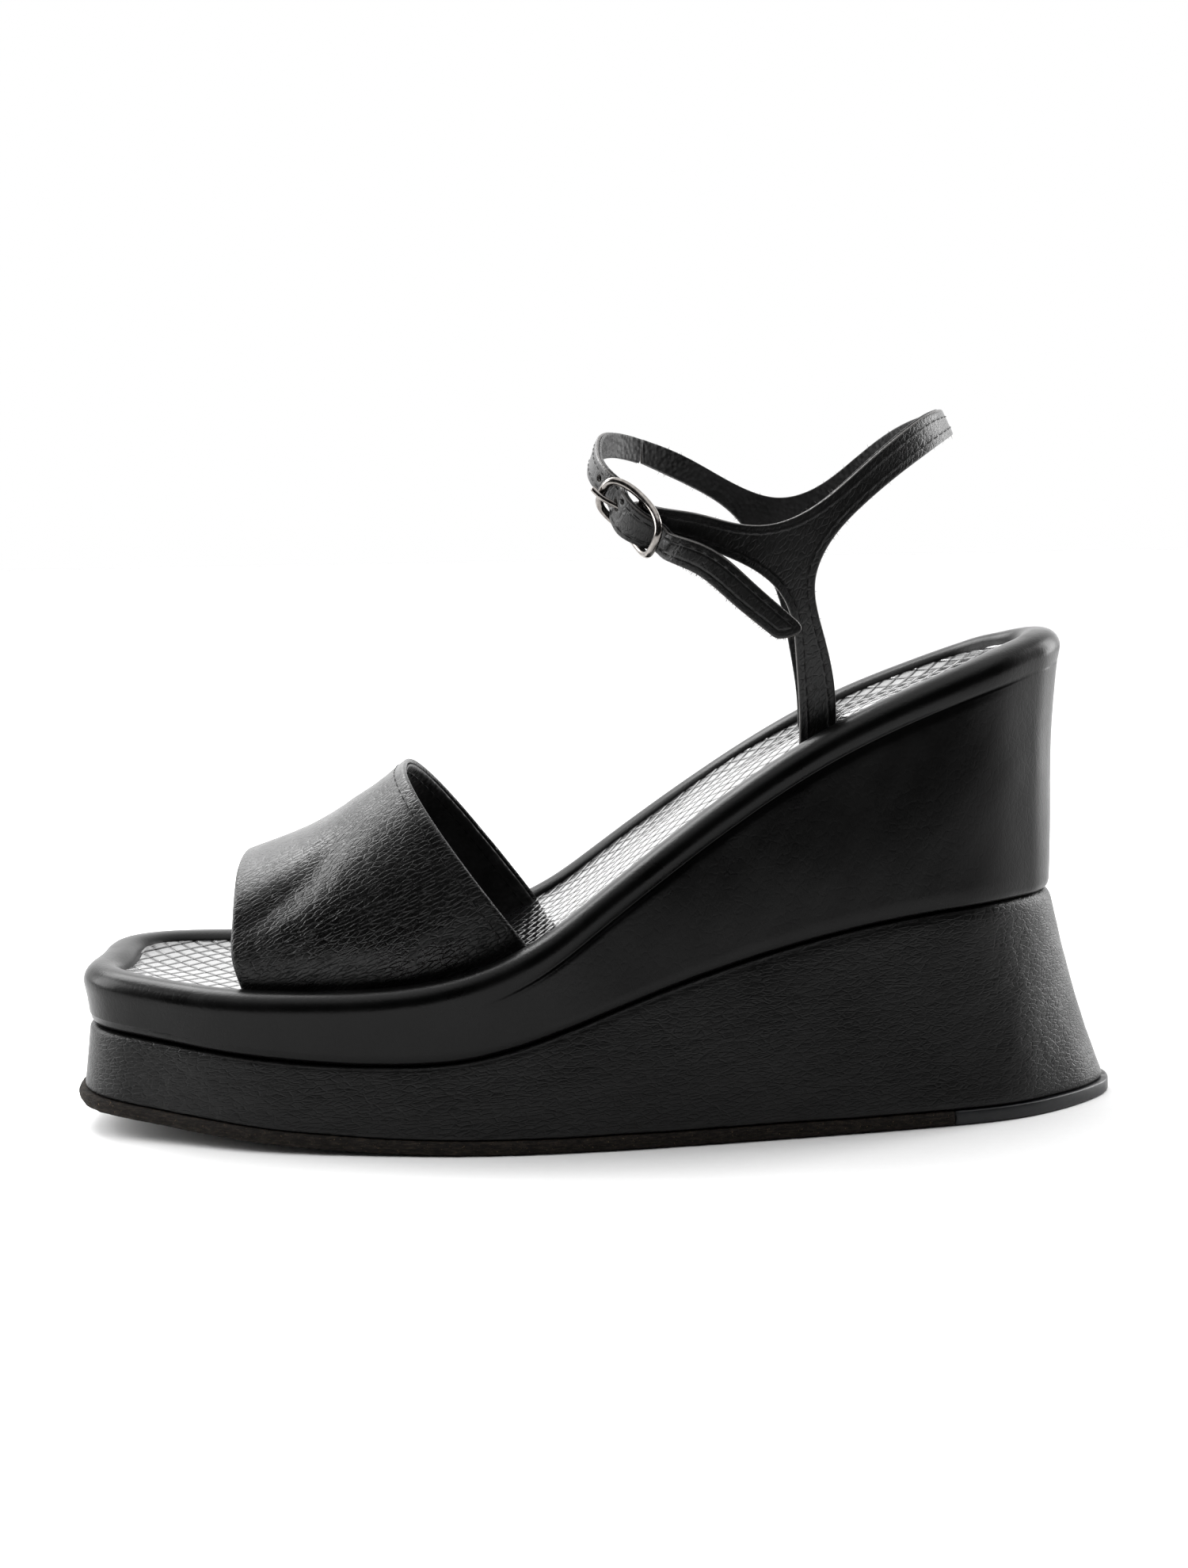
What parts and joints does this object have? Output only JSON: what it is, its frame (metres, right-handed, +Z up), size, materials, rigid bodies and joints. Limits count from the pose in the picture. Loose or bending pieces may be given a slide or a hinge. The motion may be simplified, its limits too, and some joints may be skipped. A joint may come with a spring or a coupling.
{
  "type": "wedge sandal",
  "caption": "Platform wedge sandal for the left foot with a wide toe band, a padded footbed rim and a buckled ankle strap on side legs.",
  "frame": {"origin": "centre of the sandal's box, on the ground under the sole", "axes": "+X from toe to heel along the shoe, +Y to the inner (big-toe) side of the foot, +Z up"},
  "size_m": [0.2556, 0.0973, 0.1697],
  "materials": {
    "black_leather": "smooth black finished leather, softly creased",
    "lining_leather": "matt black lining leather",
    "embossed_leather": "glossy leather embossed with diamond scales",
    "outsole_fibre": "blackened compressed leather board with a fibrous edge",
    "rubber_lift": "smooth moulded rubber",
    "wedge_cork": "pressed cork composite, hidden",
    "filler_cord": "soft foam cord, hidden",
    "insole_board": "cellulose insole board, hidden",
    "sock_foam": "open-cell foam, hidden",
    "nickel": "polished nickel plate"
  },
  "bodies": {
    "root": {"outsole": "outsole_fibre", "top_lift": "rubber_lift", "lower_wedge_core": "wedge_cork", "lower_wedge_cover": "black_leather", "upper_wedge_core": "wedge_cork", "upper_wedge_cover": "black_leather", "rim_filler": "filler_cord", "insole_board": "insole_board", "sock_pad": "sock_foam", "sock_lining": "embossed_leather", "toe_band_outer": "black_leather", "toe_band_lining": "lining_leather", "outer_anchor_tab": "lining_leather", "inner_anchor_tab": "lining_leather"},
    "ankle_strap": {"outer_quarter_leather": "black_leather", "outer_quarter_lining": "lining_leather", "inner_quarter_leather": "black_leather", "inner_quarter_lining": "lining_leather", "buckle_loop": "black_leather"},
    "strap_tail": {"strap_tail_leather": "black_leather", "strap_tail_lining": "lining_leather"},
    "buckle": {"buckle_frame": "nickel", "buckle_bar": "nickel"},
    "prong": {"buckle_prong": "nickel"}
  },
  "joints": [
    {"name": "ankle_strap_lean", "type": "hinge", "parent": "root", "child": "ankle_strap", "pos_m": [0.05445, 0, 0.0983], "axis": [0.0801, 0.996, 0.039], "range_deg": [-10, 11], "stiffness_Nm_per_rad": 0.4},
    {"name": "strap_tail_lift", "type": "hinge", "parent": "ankle_strap", "child": "strap_tail", "pos_m": [0.01801, -0.03186, 0.13856], "axis": [-0.2343, 0.3129, -0.9204], "range_deg": [0, 40], "stiffness_Nm_per_rad": 0.02},
    {"name": "buckle_rock", "type": "hinge", "parent": "ankle_strap", "child": "buckle", "pos_m": [0.0085, -0.024, 0.1463], "axis": [0.3507, -0.5807, 0.7347], "range_deg": [-3.5, 3.5], "stiffness_Nm_per_rad": 0.05},
    {"name": "prong_lift", "type": "hinge", "parent": "buckle", "child": "prong", "pos_m": [0.0085, -0.024, 0.1463], "axis": [0.3507, -0.5807, 0.7347], "range_deg": [0, 8], "stiffness_Nm_per_rad": 0.02}
  ]
}
